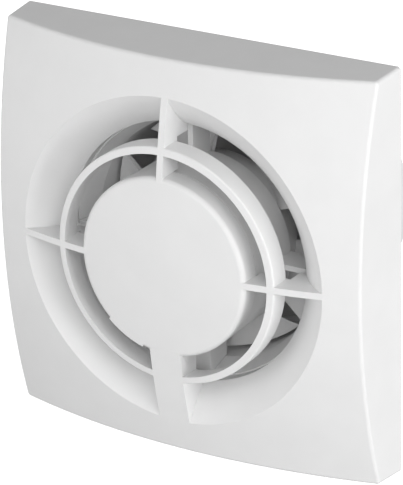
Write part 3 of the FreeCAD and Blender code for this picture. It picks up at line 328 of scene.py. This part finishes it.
WHITE = (0.80, 0.80, 0.80)
FINISHES = {
    "cover_plastic": moulded("cover_plastic", WHITE, 0.50),
    "casing_plastic": moulded("casing_plastic", shade(WHITE, 0.97), 0.46),
    "impeller_plastic": moulded("impeller_plastic", shade(WHITE, 0.93), 0.44),
    "shutter_plastic": moulded("shutter_plastic", shade(WHITE, 0.82), 0.50),
    "bobbin_plastic": moulded("bobbin_plastic", (0.68, 0.62, 0.47), 0.5, mottle=0.92),
    "block_plastic": moulded("block_plastic", (0.66, 0.66, 0.60), 0.48, mottle=0.94),
    "steel": plated("steel", (0.62, 0.63, 0.65)),
    "laminations": laminated("laminations", (0.42, 0.42, 0.43)),
    "bracket_metal": cast("bracket_metal", (0.70, 0.71, 0.72)),
    "rotor_rings": cast("rotor_rings", (0.75, 0.75, 0.76), 0.42),
    "copper": enamelled("copper", (0.72, 0.30, 0.13)),
    "brass": machined("brass", (0.78, 0.58, 0.26)),
    "bronze": machined("bronze", (0.56, 0.36, 0.18), 0.45),
    "rubber": rubber("rubber", (0.05, 0.05, 0.05)),
    "brown_sheath": sheathed("brown_sheath", (0.11, 0.045, 0.02)),
    "blue_sheath": sheathed("blue_sheath", (0.02, 0.09, 0.34)),
}
SLOT_OF = {part["node"]: part["material_slot"] for part in frame["record"]["subparts"]}
CREASE = math.radians(30.0)


def dress(name):
    """A node's finish, with true creases: flat faces shade flat and curved ones smooth."""
    obj = nodes[name]
    mesh = obj.data
    mesh.materials.clear()
    mesh.materials.append(FINISHES[SLOT_OF[name]])
    custom = mesh.attributes.get("custom_normal")
    if custom is not None:
        mesh.attributes.remove(custom)
    mesh.shade_smooth()
    mesh.set_sharp_from_angle(angle=CREASE)
    weighted = obj.modifiers.new("weighted_normals", "WEIGHTED_NORMAL")
    weighted.keep_sharp = True


# ---------------------------------------------------------------- coil windings

COIL_LENGTH = 5.0 * MM
COIL_HALF_WIDTH = 7.0 * MM
WIRE_RADIUS = 0.28 * MM
WIRE_SIDES = 6
POLES = 4
LAYERS = 2
TURN_PITCH = 2.04 * WIRE_RADIUS
LAYER_NESTING = 0.87
CORNER_SHARE = 0.35
CORNER_STEPS = 4


def loop_path(half_x, half_y, corner):
    """A rounded rectangle about the pole, as (x, y) points."""
    points = []
    for quarter, (sx, sy) in enumerate(((1, 1), (-1, 1), (-1, -1), (1, -1))):
        for step in range(CORNER_STEPS + 1):
            angle = math.pi / 2 * (quarter + step / CORNER_STEPS)
            points.append((
                sx * (half_x - corner) + corner * math.cos(angle),
                sy * (half_y - corner) + corner * math.sin(angle),
            ))
    return points


def add_windings():
    """Real turns of wire on each pole, in the space of the solid windings."""
    low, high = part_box("coil_windings")
    outer_half = (high.y - low.y) / 2
    middle_y = (high.y + low.y) / 2
    span_in = high.z - COIL_LENGTH
    vertices, faces = [], []

    def add_turn(radial, half_x, half_y, turned):
        path = loop_path(half_x, half_y, min(half_x, half_y) * CORNER_SHARE)
        first = len(vertices)
        for index, (x, y) in enumerate(path):
            before, after = path[index - 1], path[(index + 1) % len(path)]
            along = Vector((after[0] - before[0], after[1] - before[1], 0.0)).normalized()
            outward = Vector((along.y, -along.x, 0.0))
            for side in range(WIRE_SIDES):
                angle = 2 * math.pi * side / WIRE_SIDES
                offset = outward * math.cos(angle) * WIRE_RADIUS
                height = radial + math.sin(angle) * WIRE_RADIUS
                vertices.append(turned @ Vector((x + offset.x, middle_y + y + offset.y, height)))
        count = len(path)
        for index in range(count):
            following = (index + 1) % count
            for side in range(WIRE_SIDES):
                beside = (side + 1) % WIRE_SIDES
                faces.append((
                    first + index * WIRE_SIDES + side,
                    first + index * WIRE_SIDES + beside,
                    first + following * WIRE_SIDES + beside,
                    first + following * WIRE_SIDES + side,
                ))

    rows = int((COIL_LENGTH - 2 * WIRE_RADIUS) / TURN_PITCH) + 1
    for pole in range(POLES):
        turned = Matrix.Rotation(2 * math.pi * pole / POLES, 4, "Y")
        for layer in range(LAYERS):
            inset = WIRE_RADIUS + layer * TURN_PITCH * LAYER_NESTING
            for row in range(rows - layer):
                radial = span_in + WIRE_RADIUS + (row + layer / 2) * TURN_PITCH
                add_turn(radial, COIL_HALF_WIDTH - inset, outer_half - inset, turned)
    mesh = bpy.data.meshes.new("coil_wire")
    mesh.from_pydata(vertices, [], faces)
    mesh.materials.append(FINISHES["copper"])
    mesh.shade_smooth()
    coil = bpy.data.objects.new("coil_wire", mesh)
    scene.collection.objects.link(coil)
    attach(coil, "casing")
    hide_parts("coil_windings")


# ---------------------------------------------------------------- the scene

add_camera()
add_world()
for lamp_name, (lamp_direction, lamp_power) in LAMPS.items():
    add_lamp(lamp_name, lamp_direction, lamp_power)
add_floor()
for node_name in nodes:
    dress(node_name)
add_windings()

scene.view_settings.view_transform = "Standard"
scene.view_settings.look = "None"
